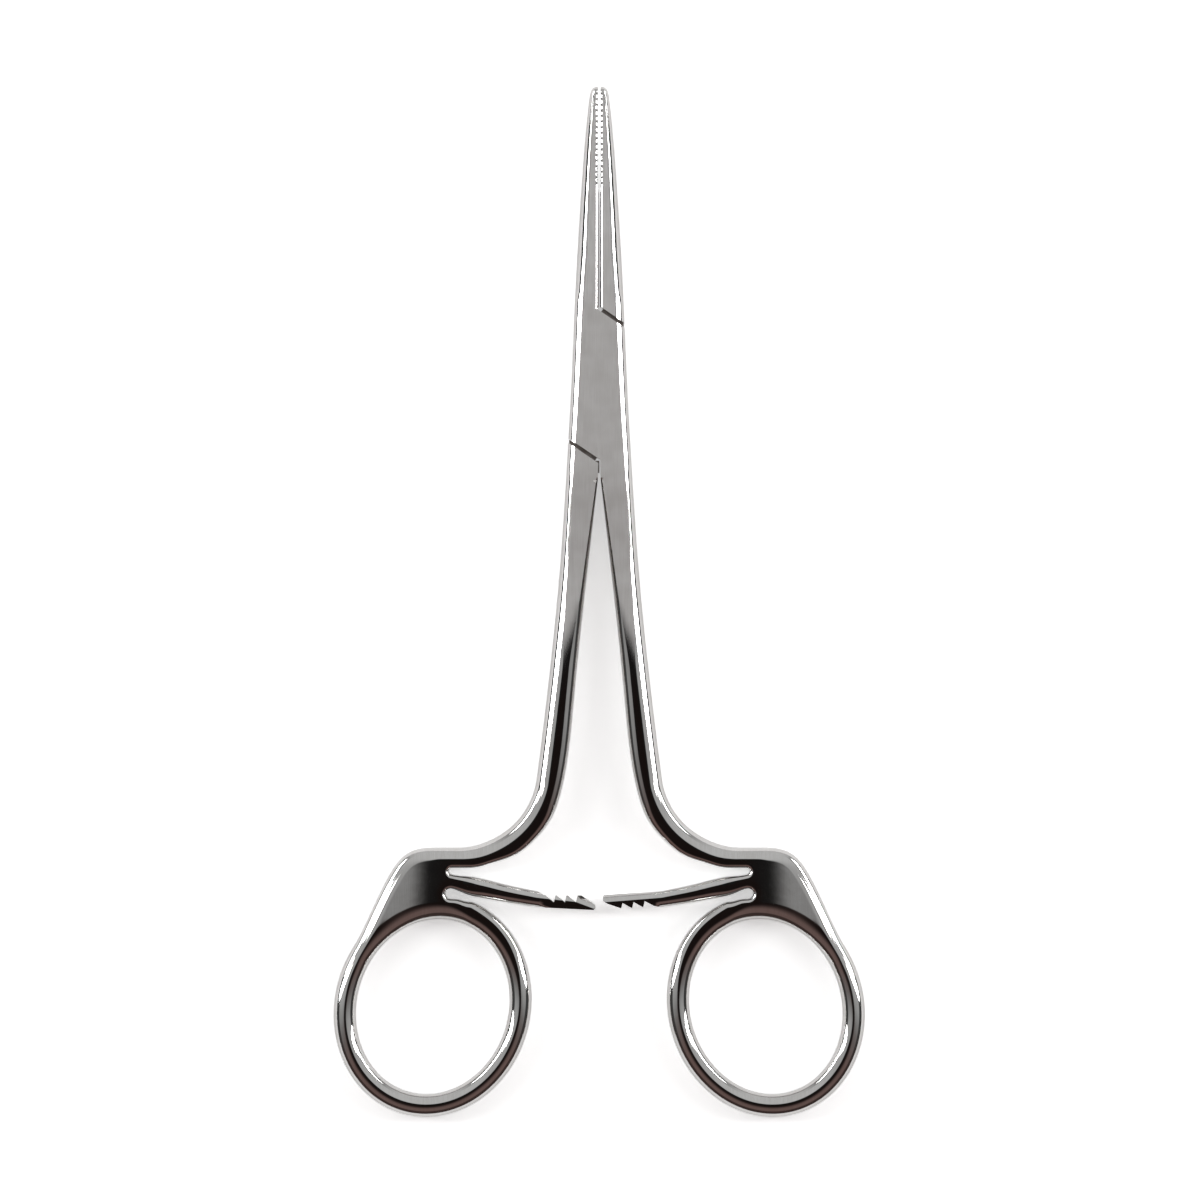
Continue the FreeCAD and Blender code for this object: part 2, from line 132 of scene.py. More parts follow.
# how finely a surface is sampled: rows at shares of a rounding's width, the even field
# between them, the cell that keeps one point of each, how far an edge is looked for, how
# many points are worked out at a time, and the step along hidden edges
ROWS = (0.02, 0.05, 0.1, 0.16, 0.24, 0.33, 0.43, 0.54, 0.66, 0.78, 0.89, 0.975, 1.03)
FIELD = 0.4
CELL = 0.012
FAR = 9.5
BLOCK = 500
COARSE = 0.5


def points(*pairs):
    """A line through the given pairs of x and y."""
    return np.array(pairs, float)


def at(x, y):
    """One place."""
    return np.array([x, y], float)


def through(stations, start=None, end=None, step=0.2):
    """A smooth cubic through the stations, in even steps of chord length. The slopes at
    the stations solve the usual rule that the curvature has no jump; the end slopes are
    given, or those of a parabola through the last three stations."""
    p = np.asarray(stations, float)
    h = np.linalg.norm(np.diff(p, axis=0), axis=1)
    t = np.concatenate([[0], np.cumsum(h)])
    chord = np.diff(p, axis=0) / h[:, None]

    def end_slope(c, a, b):
        return c[0] + (c[0] - c[1]) * a / (a + b)

    n = len(p)
    rule = np.zeros((n, n))
    right = np.zeros((n, 2))
    rule[0, 0] = 1
    rule[-1, -1] = 1
    right[0] = end_slope(chord, h[0], h[1]) if start is None else start
    right[-1] = end_slope(chord[::-1], h[-1], h[-2]) if end is None else end
    i = np.arange(1, n - 1)
    rule[i, i - 1] = h[1:]
    rule[i, i] = 2 * (h[1:] + h[:-1])
    rule[i, i + 1] = h[:-1]
    right[i] = 3 * (h[1:, None] * chord[:-1] + h[:-1, None] * chord[1:])
    m = np.linalg.solve(rule, right)
    q = np.linspace(0, t[-1], max(3, int(t[-1] / step) + 1))
    k = np.clip(np.searchsorted(t, q, side="right") - 1, 0, n - 2)
    u = ((q - t[k]) / h[k])[:, None]
    w = h[k][:, None]
    return (
        (2 * u**3 - 3 * u**2 + 1) * p[k]
        + (u**3 - 2 * u**2 + u) * w * m[k]
        + (3 * u**2 - 2 * u**3) * p[k + 1]
        + (u**3 - u**2) * w * m[k + 1]
    )


def straight(a, b, step=0.2):
    """Even steps from a to b."""
    a, b = np.asarray(a, float), np.asarray(b, float)
    count = max(2, int(np.linalg.norm(b - a) / step) + 2)
    return a + (b - a) * np.linspace(0, 1, count)[:, None]


def arc(centre, radius, start, end, step=0.08):
    """Points round a centre from one angle in degrees to another."""
    count = int(abs(math.radians(end - start)) * radius / step)
    turn = np.radians(np.linspace(start, end, max(4, count)))
    return np.asarray(centre, float) + radius * np.stack([np.cos(turn), np.sin(turn)], 1)


def ellipse(semi, start, end, step=0.2):
    """Part of an ellipse about the ring's middle, leaning by its tilt. The angle starts at
    the short half axis on the outer side and runs towards the far end of the ring."""
    count = int(abs(end - start) * max(semi) / step)
    turn = np.linspace(start, end, count)
    across = at(math.cos(TILT), math.sin(TILT))
    along = at(-math.sin(TILT), math.cos(TILT))
    outward = np.cos(turn)[:, None] * semi[0] * across
    return RING + outward - np.sin(turn)[:, None] * semi[1] * along


def join(*runs):
    """Runs end to end, with doubled points left out."""
    line = np.concatenate(runs)
    keep = np.ones(len(line), bool)
    keep[1:] = np.linalg.norm(np.diff(line, axis=0), axis=1) > 1e-3
    return line[keep]


def mirrored(line):
    """The line on the other side of the middle."""
    return line * at(-1, 1)


def shares(a, b, pairs):
    """Points at shares of the way from a to b, across and along."""
    a, b = np.asarray(a, float), np.asarray(b, float)
    return a + (b - a) * points(*pairs)


# outer edge of the closed pair on the right side, from the jaw tip to the flare
SIDE = through(
    points(
        (1.15, JAW), (1.53, 37.3), (2.39, 27.1), (3.03, 16.9), (3.44, 8.2),
        (3.79, 0), (4.53, -FORK), (BOW_HALF, -BOW), SHANK, FLARE,
    ),
    step=0.15,
)


def side_between(top, low):
    """The outer edge between two heights."""
    return SIDE[(SIDE[:, 1] <= top) & (SIDE[:, 1] >= low)]


def seam_y(x, lower, raised=0.0):
    """Height of a slanting seam: its apex on the middle line, less the slope outwards."""
    if lower:
        return -(WALL_LOW + raised - WALL_SLOPE * x)
    return WALL_UP + raised - WALL_SLOPE * x


def seam_corner(lower, raised=0.0):
    """Where a slanting seam meets the outer edge."""
    gap = SIDE[:, 1] - seam_y(SIDE[:, 0], lower, raised)
    i = np.nonzero(gap[:-1] * gap[1:] <= 0)[0][-1 if lower else 0]
    share = gap[i] / (gap[i] - gap[i + 1])
    return SIDE[i] + (SIDE[i + 1] - SIDE[i]) * share


def bar_front(teeth_up):
    """Saw teeth of a ratchet bar from the web side to the nose, then round the nose. Each
    gap has a long ramp on the web side and a steep face on the nose side."""
    k = np.arange(TEETH)[:, None]
    root = 6.16 - TOOTH_PITCH * k
    if teeth_up:
        crest = -69.36
        level = np.full((TEETH, 1), crest)
        ramp = np.hstack([root + 1.125, level])
        foot = np.hstack([root, level - 0.92])
        steep = np.hstack([root - 0.198, level])
        teeth = np.stack([ramp, foot, steep], 1).reshape(-1, 2)
        nose = points(
            (2.41, crest), (0.6, -70.62), (BAR_NOSE, -70.82), (BAR_NOSE, -71.12), (0.8, -71.32)
        )
        return np.vstack([at(7.6, -69.28), teeth, nose])
    level = -70.83 - 0.13 * k
    ramp = np.hstack([root + 1.3, level + np.array([[0.06], [0], [0]])])
    foot = np.hstack([root, level + 0.72])
    steep = np.hstack([root - 0.18, level - 0.02])
    teeth = np.stack([steep, foot, ramp], 1)[::-1].reshape(-1, 2)
    nose = points((0.6, -69.36), (BAR_NOSE, -69.46), (BAR_NOSE, -70.12), (1.1, -70.47))
    return np.vstack([nose, teeth])


def tight(line, step=0.2):
    """Straight runs between given corners, in even steps."""
    return join(*[straight(a, b, step) for a, b in zip(line[:-1], line[1:])])


# edges of a ratchet bar from the slot roots to the saw teeth, and the roots themselves
SLOT_UP = arc((19.94, -66.07), 0.48, 90, -76)
SLOT_LOW = arc((20.16, -69.14), 0.74, 105, -88)
BAR_TOP_AT = points((17.68, -66.81), (13.0, -67.82), (8.3, -68.79))
BAR_LOW_AT = points((8.3, -70.98), (13.2, -70.2), (15.7, -69.73), (18.0, -69.19))
BAR_TOP = through(np.vstack([SLOT_UP[-1:], BAR_TOP_AT]), (-0.97, -0.24))
BAR_LOW = through(np.vstack([BAR_LOW_AT, SLOT_LOW[:1]]), None, (0.966, 0.259))
# where the ring's outer edge leaves the shoulder and arrives at the lower slot, in radians
RING_LEAVE = -0.305
RING_ARRIVE = 4.62


def shank_run(y_start, teeth_up):
    """The edge of a shank from y_start down its outer side, over the web, round the ring,
    along the bar and its teeth and back up the inner side to the fork. Right side. Gives
    the outer run, the bar's end and the inner run."""
    flare, left, right = at(*FLARE), at(WEB_LEFT, WEB), at(WEB_RIGHT, WEB)
    down = SIDE[-1] - SIDE[-2]
    ring = ellipse(RING_EDGE, RING_LEAVE, RING_ARRIVE)
    out = (ring[1] - ring[0]) / np.linalg.norm(ring[1] - ring[0])
    flat = (1.0, 0.0)
    flare_run = np.vstack([flare, shares(flare, left, FLARE_OUT), left])
    shoulder = np.vstack([right, shares(right, ring[0], SHOULDER), ring[0]])
    arrive = (ring[-1] - ring[-2]) / np.linalg.norm(ring[-1] - ring[-2])
    root = np.vstack([ring[-1:], points((17.75, -70.27), (19.31, -69.93)), SLOT_LOW[-1:]])
    outer = join(
        side_between(y_start, FLARE[1] + 0.1),
        through(flare_run, down / np.linalg.norm(down), flat),
        straight(left, right),
        through(shoulder, flat, out),
        ring,
        through(root, arrive, (1.0, 0.03)),
        SLOT_LOW[::-1],
        BAR_LOW[::-1],
    )
    front = tight(bar_front(teeth_up), 0.12)[::-1]
    lip = at(WEB_LEFT - 1.4, WEB - 2.76)
    flare_in = flare - at(SHANK_WIDTH, 0)
    fork = at(0.205, -FORK)
    bow_in = at(BOW_HALF - SHANK_WIDTH - 0.08, -BOW)
    shank_in = at(SHANK[0] - SHANK_WIDTH, SHANK[1])
    flare_back = shares(flare_in, lip, FLARE_IN)[::-1]
    stations = np.vstack([lip, flare_back, flare_in, shank_in, bow_in, fork])
    up = (fork - bow_in) / np.linalg.norm(fork - bow_in)
    back = through(stations, (-1.0, 0.0), up)
    inner = join(BAR_TOP[::-1], SLOT_UP[::-1], straight(SLOT_UP[0], lip), back)
    return outer, front, inner


def nearest(p, line, closed=False):
    """Distance from each point to a line of short straight runs, and the direction away
    from the nearest place on it. What lies beyond FAR counts as that far."""
    a = line if closed else line[:-1]
    b = np.roll(line, -1, axis=0) if closed else line[1:]
    ab = b - a
    length = np.maximum((ab**2).sum(1), 1e-12)
    high, low = np.maximum(a[:, 1], b[:, 1]), np.minimum(a[:, 1], b[:, 1])
    distance = np.full(len(p), FAR)
    away = np.zeros((len(p), 2))
    order = np.argsort(p[:, 1])
    for k in range(0, len(p), BLOCK):
        part = order[k:k + BLOCK]
        q = p[part][:, None, :]
        near = (high > q[:, 0, 1].min() - FAR) & (low < q[:, 0, 1].max() + FAR)
        if not near.any():
            continue
        c, cd = a[near], ab[near]
        t = np.clip(((q - c) * cd).sum(2) / length[near], 0, 1)
        r = q - c - t[:, :, None] * cd
        d = (r**2).sum(2)
        i = d.argmin(1)
        j = np.arange(len(i))
        distance[part] = np.sqrt(d[j, i])
        away[part] = r[j, i]
    return distance, away / np.maximum(distance, 1e-9)[:, None]


def inside(p, loops):
    """Whether each point lies within the loops, by counting the runs crossed to its right."""
    a = np.concatenate(loops)
    b = np.concatenate([np.roll(loop, -1, axis=0) for loop in loops])
    high, low = np.maximum(a[:, 1], b[:, 1]), np.minimum(a[:, 1], b[:, 1])
    rise = np.where(b[:, 1] == a[:, 1], 1, b[:, 1] - a[:, 1])
    slant = (b[:, 0] - a[:, 0]) / rise
    odd = np.zeros(len(p), bool)
    order = np.argsort(p[:, 1])
    for k in range(0, len(p), 2 * BLOCK):
        part = order[k:k + 2 * BLOCK]
        q = p[part][:, None, :]
        near = (high >= q[:, 0, 1].min()) & (low <= q[:, 0, 1].max())
        c, e = a[near], b[near]
        spans = (c[:, 1] > q[:, :, 1]) != (e[:, 1] > q[:, :, 1])
        x = c[:, 0] + (q[:, :, 1] - c[:, 1]) * slant[near]
        odd[part] = (spans & (x > q[:, :, 0])).sum(1) % 2 == 1
    return odd


def smooth(x, low, high):
    """0 below low, 1 above high, by 3 t^2 - 2 t^3 between."""
    t = np.clip((x - low) / (high - low), 0, 1)
    return t * t * (3 - 2 * t)


def triangles(p, loops, lines=()):
    """Triangles over the points, kept where they lie within the loops, with their sides
    along the loops and the further closed lines. Gives the points as the triangulation has
    them, the triangles turned to face up, and the border runs with the metal on their
    left."""
    closed = list(loops) + list(lines)
    start = np.cumsum([0] + [len(loop) for loop in closed])
    first, last = np.arange(start[-1]), start[1:] - 1
    onward = np.stack([first, first + 1], 1)[~np.isin(first, last)]
    sides = np.concatenate([onward, np.stack([last, start[:-1]], 1)])
    corners = np.concatenate(closed + [p])
    found = delaunay_2d_cdt(corners.tolist(), sides.tolist(), [], 0, 1e-7, False)
    v, f = np.array(found[0]), np.array(found[2])
    f = f[inside(v[f].mean(1), loops)]
    ab, ac = v[f[:, 1]] - v[f[:, 0]], v[f[:, 2]] - v[f[:, 0]]
    turned = ab[:, 0] * ac[:, 1] - ab[:, 1] * ac[:, 0] < 0
    f[turned] = f[turned][:, ::-1]
    edges = np.concatenate([f[:, [0, 1]], f[:, [1, 2]], f[:, [2, 0]]])
    key = np.sort(edges, 1)
    _, back, count = np.unique(key, axis=0, return_inverse=True, return_counts=True)
    return v, f, edges[count[back.ravel()] == 1]


def field_points(loops, edges):
    """Rows of points along the edges, at shares of the width of their rounding and a pair
    where it ends, and an even field of points between."""
    rows = []
    for line, closed, rounding in edges:
        ahead = np.roll(line, -1, axis=0) if closed else np.vstack([line[1:], line[-1:]])
        behind = np.roll(line, 1, axis=0) if closed else np.vstack([line[:1], line[:-1]])
        run = ahead - behind
        normal = np.stack([-run[:, 1], run[:, 0]], 1) / np.linalg.norm(run, axis=1)[:, None]
        width = rounding(line)[1]
        last = np.zeros(len(line))
        for share in ROWS:
            offset = share * width
            spaced = offset - last > (0.04 if share < 0.97 else 0.006)
            last[spaced] = offset[spaced]
            for turn in (1, -1):
                row = (line + (turn * offset)[:, None] * normal)[spaced]
                within = inside(row, loops)
                row, away = row[within], offset[spaced][within]
                distance, _ = nearest(row, line, closed)
                rows.append(row[distance > 0.95 * away])
    low, high = loops[0].min(0), loops[0].max(0)
    x, y = np.meshgrid(np.arange(low[0], high[0], FIELD), np.arange(low[1], high[1], FIELD))
    grid = np.stack([x.ravel(), y.ravel()], 1)
    grid = grid[inside(grid, loops)]
    for line, closed, rounding in edges:
        distance, _ = nearest(grid, line, closed)
        grid = grid[distance > 1.1 * rounding(grid)[1]]
    p = np.concatenate(rows + [grid])
    for loop in loops:
        distance, _ = nearest(p, loop, True)
        p = p[distance > 0.02]
    cell = np.round(p / CELL).astype(np.int64)
    _, first = np.unique(cell, axis=0, return_index=True)
    return p[np.sort(first)]


def level_table():
    """Half thickness along the forceps: full in the box, thinner to the jaw tips and down
    the shanks, its corners eased by a running mean."""
    y = np.arange(THICK_AT[0], THICK_AT[-1], 0.1)
    z = np.interp(y, THICK_AT, THICK_HALF)
    z = np.convolve(np.pad(z, 20, mode="edge"), np.ones(41) / 41, mode="valid")
    return y, z


LEVEL_Y, LEVEL_Z = level_table()


def half_thickness(x, y):
    """Half thickness at a place, with the ratchet bars thinned from the web to their nose."""
    z = np.interp(y, LEVEL_Y, LEVEL_Z)
    ax = np.abs(x)
    top = np.interp(ax, BAR_TOP[::-1, 0], BAR_TOP[::-1, 1])
    low = np.interp(ax, BAR_LOW[:, 0], BAR_LOW[:, 1])
    on_bar = (ax < 20.0) & (y < top + 0.25) & (y > low - 0.45)
    return np.where(on_bar, BAR_HALF + 0.5 * smooth(ax, 9.0, 19.8), z)


def surface(p, edges, bevels=()):
    """Height above the mid-plane, slope and flatness of the upper side. Each rounded edge
    takes an arc of its radius from the half thickness, as far in as its width. The web
    takes a slow fall towards its outer side, shaded twice as steep as it is cut, the flats
    are a little barrelled, and each bevelled edge takes a slant."""
    half = half_thickness(p[:, 0], p[:, 1])
    slope = np.zeros((len(p), 2))
    slope[:, 1] = np.interp(p[:, 1], LEVEL_Y, np.gradient(LEVEL_Z, LEVEL_Y))
    over = np.clip(np.abs(p[:, 0]) - CROWN_FROM, 0, None)
    ramp = CROWN_FULL - CROWN_FROM
    share = smooth(p[:, 1], *CROWN_ALONG)
    fall = np.minimum(over, ramp) ** 2 / ramp / 2 + np.clip(over - ramp, 0, None)
    drop = share * CROWN_SLOPE / 2 * fall
    rim, _ = nearest(p, edges[0][0])
    lean = np.sign(p[:, 0]) * share * CROWN_SLOPE * np.minimum(over / ramp, 1)
    slope[:, 0] -= lean * smooth(rim, 0.4, 1.7)
    barrel = BARREL * smooth(p[:, 1], *BARREL_ALONG)
    drop += barrel / 2 * p[:, 0] ** 2
    slope[:, 0] -= barrel * p[:, 0]
    box = smooth(-np.abs(p[:, 1]), *BOX_ALONG)
    room = half - LEFT_OVER - LEFT_OVER_BOX * box - drop
    flat = np.ones(len(p))
    for line, closed, rounding in edges:
        d, away = nearest(p, line, closed)
        radius, width = rounding(p)
        u = np.clip(1 - d / radius, 0, 0.9995)
        base = np.sqrt(1 - (1 - width / radius) ** 2)
        tall = np.minimum(radius, room / base)
        on = d < width
        drop += np.where(on, tall * (base - np.sqrt(1 - u**2)), 0)
        slope += np.where(on, tall / radius * u / np.sqrt(1 - u**2), 0)[:, None] * away
        flat *= smooth(d / width, 0.98, 1.02)
    for line, width in bevels:
        d, away = nearest(p, line)
        drop += BEVEL_SLOPE * np.clip(width - d, 0, None)
        slope += np.where(d < width, BEVEL_SLOPE, 0.0)[:, None] * away
        flat *= smooth(d / width, 0.95, 1.05)
    return np.maximum(half - drop, 0.04), slope, flat


def satin_share(p, flat):
    """Satin on the flats of jaws, box and upper shanks. It runs out down the shanks, first
    beside the inner edge."""
    depth = np.interp(-p[:, 1], -SIDE[:, 1], SIDE[:, 0]) - np.abs(p[:, 0])
    slanting = smooth(p[:, 1] - 3.6 * (depth - 1.9), *SATIN_SLANT)
    return flat * slanting * smooth(p[:, 1], *SATIN_ALONG)


def satin_height(edges, bevels=()):
    """The surface with the satin share in place of its flatness, as a shell takes it."""

    def height(p):
        z, slope, flat = surface(p, edges, bevels)
        return z, slope, satin_share(p, flat)

    return height


def level_height(z):
    """A flat upper side."""
    return lambda p: (np.full(len(p), z), np.zeros((len(p), 2)), np.ones(len(p)))


class Parts:
    """Corners, faces, their normals and the satin share, gathered shell by shell."""

    def __init__(self):
        self.v, self.f, self.n, self.s, self.m = [], [], [], [], []
        self.count = 0
        self.finish = 0

    def add(self, v, f, n, s):
        self.m.append(np.full(len(f), self.finish, np.int32))
        self.v.append(v)
        self.f.append(f + self.count)
        self.n.append(n)
        self.s.append(s)
        self.count += len(v)

    def shell(self, loops, edges, height, room=None, bevels=()):
        """A closed shell over the loops: the upper side at the height worked out for each
        point, the lower side its mirror image, walls between them along every edge. A
        room is a slot through the middle layer, given as an outline and a half height. The
        points of an edge are read 0.004 mm inside it, where the surface has its slope."""
        p = field_points(loops, edges + [(line, False, even(width)) for line, width in bevels])
        v, f, border = triangles(p, loops, [] if room is None else [room[0]])
        a, b = v[border[:, 0]], v[border[:, 1]]
        run = (b - a) / np.linalg.norm(b - a, axis=1)[:, None]
        into = np.stack([-run[:, 1], run[:, 0]], 1)
        inward = np.zeros((len(v), 2))
        np.add.at(inward, border[:, 0], into)
        np.add.at(inward, border[:, 1], into)
        size = np.linalg.norm(inward, axis=1)
        at_edge = size > 0
        inward[at_edge] /= size[at_edge][:, None]
        z, slope, satin = height(v + inward * 0.004)
        n = np.column_stack([-slope, np.ones(len(v))])
        n /= np.linalg.norm(n, axis=1)[:, None]
        top = np.column_stack([v, z])
        self.add(top, f, n[f], satin)
        low = top * [1, 1, -1]
        self.add(low, f[:, ::-1], (n * [1, 1, -1])[f[:, ::-1]], satin)
        sharp = (into * inward[border[:, 0]]).sum(1)
        out_a = np.where((sharp > 0.9)[:, None], -inward[border[:, 0]], -into)
        sharp = (into * inward[border[:, 1]]).sum(1)
        out_b = np.where((sharp > 0.9)[:, None], -inward[border[:, 1]], -into)
        za, zb = z[border[:, 0]], z[border[:, 1]]
        if room is None:
            self.wall(a, b, -za, -zb, za, zb, out_a, out_b)
            return
        outline, half = room
        opened = inside((a + b) / 2 + into * 0.01, [outline])
        sides = (a, b, -za, -zb, za, zb, out_a, out_b)
        self.wall(*(side[~opened] for side in sides))
        a, b, _, _, za, zb, out_a, out_b = (side[opened] for side in sides)
        level = np.full(len(a), half)
        self.wall(a, b, level, level, za, zb, out_a, out_b)
        self.wall(a, b, -za, -zb, -level, -level, out_a, out_b)
        within = f[inside(v[f].mean(1), [outline])]
        used, back = np.unique(within, return_inverse=True)
        g = back.reshape(-1, 3)
        up = np.tile([0.0, 0.0, 1.0], (len(g), 3, 1))
        flat = np.column_stack([v[used], np.full(len(used), half)])
        self.add(flat, g[:, ::-1], -up, np.zeros(len(used)))
        self.add(flat * [1, 1, -1], g, up, np.zeros(len(used)))
        rim = np.concatenate([within[:, [0, 1]], within[:, [1, 2]], within[:, [2, 0]]])
        key = np.sort(rim, 1)
        _, back, count = np.unique(key, axis=0, return_inverse=True, return_counts=True)
        rim = rim[count[back.ravel()] == 1]
        outer = np.isin(rim @ [len(v), 1], border @ [len(v), 1])
        a, b = v[rim[~outer, 1]], v[rim[~outer, 0]]
        run = (b - a) / np.linalg.norm(b - a, axis=1)[:, None]
        out = np.stack([run[:, 1], -run[:, 0]], 1)
        level = np.full(len(a), half)
        self.wall(a, b, -level, -level, level, level, out, out)

    def wall(self, a, b, low_a, low_b, high_a, high_b, out_a, out_b):
        """Upright quads between a lower and an upper line, as two triangles each."""
        m = len(a)
        v = np.concatenate([
            np.column_stack([a, low_a]), np.column_stack([b, low_b]),
            np.column_stack([b, high_b]), np.column_stack([a, high_a]),
        ])
        i = np.arange(m)
        lower, upper = [i, i + m, i + 2 * m], [i, i + 2 * m, i + 3 * m]
        f = np.concatenate([np.stack(lower, 1), np.stack(upper, 1)])
        na, nb = np.column_stack([out_a, np.zeros(m)]), np.column_stack([out_b, np.zeros(m)])
        n = np.concatenate([np.stack([na, nb, nb], 1), np.stack([na, nb, na], 1)])
        self.add(v, f, n, np.zeros(4 * m))

    def mesh(self, name):
        """One object at the origin from all the shells, with their own normals."""
        v = np.concatenate(self.v)
        f = np.concatenate(self.f).astype(np.int32)
        n = np.concatenate(self.n).reshape(-1, 3)
        mesh = bpy.data.meshes.new(name)
        mesh.vertices.add(len(v))
        mesh.vertices.foreach_set("co", ((v + [0, 0, MID]) * MM).ravel())
        mesh.loops.add(f.size)
        mesh.loops.foreach_set("vertex_index", f.ravel())
        mesh.polygons.add(len(f))
        mesh.polygons.foreach_set("loop_start", np.arange(0, f.size, 3, dtype=np.int32))
        mesh.polygons.foreach_set("use_smooth", np.ones(len(f), bool))
        mesh.polygons.foreach_set("material_index", np.concatenate(self.m))
        mesh.update(calc_edges=True)
        satin = mesh.attributes.new("satin", "FLOAT", "POINT")
        satin.data.foreach_set("value", np.concatenate(self.s))
        mesh.normals_split_custom_set(n.tolist())
        thing = bpy.data.objects.new(name, mesh)
        bpy.context.scene.collection.objects.link(thing)
        return thing


def even(width):
    """A quarter round of one radius."""
    return lambda p: (np.full(len(p), width), np.full(len(p), width))


def hole_round(p):
    """The round of a ring opening, larger below the web."""
    wide = smooth(p[:, 1], *HOLE_ALONG) * smooth(np.abs(p[:, 0]), *HOLE_ACROSS)
    radius = HOLE_ROUND + (WEB_HOLE_ROUND - HOLE_ROUND) * wide
    return radius, radius


def outer_round(p):
    """Radius and width of the outer edge's rounding, tighter beside a slot and on a bar."""
    ax = np.abs(p[:, 0])
    beside = 0.45 + 0.5 * smooth(-ax, -20.6, -15.0)
    level = smooth(-p[:, 1], 64.0, 66.0) * smooth(p[:, 1], -84.0, -72.0)
    near_slot = smooth(-ax, -23.0, -21.5) * level
    kinds = [np.interp(p[:, 1], OUTER_AT, sizes) for sizes in (OUTER_RADIUS, OUTER_WIDTH)]
    return [size + (beside - size) * near_slot for size in kinds]


def inner_round(p):
    """Radius and width along the inner edge of a shank, the slot and the top of a bar."""
    on_bar = 0.45 * smooth(-p[:, 1], 66.2, 67.2) * smooth(-np.abs(p[:, 0]), -20.0, -16.0)
    kinds = (INNER_RADIUS, INNER_WIDTH)
    return [np.interp(p[:, 1], INNER_AT, sizes) + on_bar for sizes in kinds]


OPENING = ellipse(HOLE, 0, 2 * math.pi)[:-1]
PIN = arc((0, 0), PIN_RADIUS, 0, 360)[:-1]
PIN_BORE = arc((0, 0), BORE_RADIUS, 0, 360)[:-1]


def jaw_inside(turn, low):
    """The serrated inner edge of a jaw from its root up to the tip: V grooves at an even
    pitch, cut into a straight line."""
    tip = at(TIP_GAP / 2, JAW)
    root = at(ROOT_GAP / 2, WALL_UP)
    down = (root - tip) / np.linalg.norm(root - tip)
    into = at(-down[1], down[0])
    k = np.arange(SERRATIONS)[:, None]
    middle = tip + down * (SERRATION_START + SERRATION_PITCH * k)
    half = SERRATION_PITCH * 0.42
    bottom = middle + into * SERRATION_DEPTH
    grooves = np.stack([middle - down * half, bottom, middle + down * half], 1).reshape(-1, 2)
    foot = tip + down * ((JAW - low) / -down[1])
    return tight(np.vstack([grooves, foot]))[::-1] * at(turn, 1)


def nose_arc():
    """The round of a jaw's nose, from its top to its side."""
    return arc((0.27, JAW - NOSE_ROUND), NOSE_ROUND, 84, 7, 0.1)


def jaw_tip():
    """The nose of a jaw from the inner edge round to the outer side, on the right."""
    x = TIP_GAP / 2
    corner = points((x, JAW - 0.35), (x, JAW - 0.12), (x + 0.06, JAW - 0.03))
    return np.vstack([corner, nose_arc()])


def box_arm():
    """Left jaw, box and right shank."""
    parts = Parts()
    top = seam_corner(False)
    low = mirrored(seam_corner(True))
    outer, front, inner = shank_run(top[1] - 0.1, False)
    crotch = at(-0.04, seam_y(0.04, True))
    fork = inner[-1]
    heel = at(fork[0] * 0.6, crotch[1])
    side = mirrored(side_between(JAW - 1.1, low[1] + 0.05))
    apex = at(0.08, seam_y(0.08, False))
    root = at(-ROOT_GAP / 2, apex[1] + ROOT_GAP / 2)
    jaw = jaw_inside(-1, root[1])
    loop = join(
        straight(top, outer[0]), outer, front, inner, straight(fork, heel),
        straight(heel, crotch), straight(crotch, low), side[::-1], mirrored(jaw_tip())[::-1],
        jaw[::-1], straight(root, apex), straight(apex, top)[:-1],
    )
    left = np.vstack([jaw_nose(), SIDE[(SIDE[:, 1] > -16) & (SIDE[:, 1] < JAW - 1)]])
    right = np.vstack([SIDE[SIDE[:, 1] < 14], outer[outer[:, 1] < FLARE[1] - 0.1]])
    edges = [
        (right, False, outer_round),
        (mirrored(left), False, outer_round),
        (inner_edge(inner, False), False, inner_round),
        (OPENING, True, hole_round),
    ]
    bevels = [(mirrored(jaw_line()), JAW_BEVEL)]
    room = (tongue_room(), ROOM_HALF)
    parts.shell([loop, OPENING, PIN], edges, satin_height(edges, bevels), room, bevels)
    groove_shade_strip(parts, -1)
    return parts.mesh("box_arm_forging")


def tongue_room():
    """Outline of the slot in the box, the same above and below the pin by a half turn:
    open to one side, and ended by the stop face at the open angle."""
    stop = at(math.cos(OPEN_ANGLE), -math.sin(OPEN_ANGLE))
    along = at(math.sin(OPEN_ANGLE), math.cos(OPEN_ANGLE))
    corner = stop * STOP_FAR + along * ((-0.1 - STOP_FAR * stop[0]) / along[0])
    outside = stop * STOP_FAR + along * ((ROOM_WIDE - STOP_FAR * stop[0]) / along[0])
    half = np.vstack([points((0.1, ROOM_END), (ROOM_WIDE, ROOM_END)), outside, corner])
    return tight(np.vstack([half, -half, half[:1]]), 0.3)[:-1]


def inner_edge(inner, teeth_up):
    """The inner edge as its rounding follows it: the bar's top without its teeth."""
    end = points((0.5, -70.3), (3.0, -69.36)) if teeth_up else points((0.5, -69.4))
    return join(tight(np.vstack([end, inner[:1]])), inner)


def jaw_line():
    """The inner edge of a jaw without its serrations."""
    return points((TIP_GAP / 2, JAW + 2), (ROOT_GAP / 2, WALL_UP + 0.35))


def jaw_nose():
    """The nose of a jaw as its rounding follows it."""
    return np.vstack([at(0.27, JAW), nose_arc()])


def painted_shade_plate(parts, outline, height, level):
    """A flat strip of the dark inner steel with its middle at a level from the mid-plane: a piece
    of painted shade.
    """
    start = len(parts.v)
    # finish 1 is the dark inner steel, painted shade
    parts.finish = 1
    parts.shell([outline], [], level_height(height))
    parts.finish = 0
    for block in parts.v[start:]:
        block[:, 2] += level


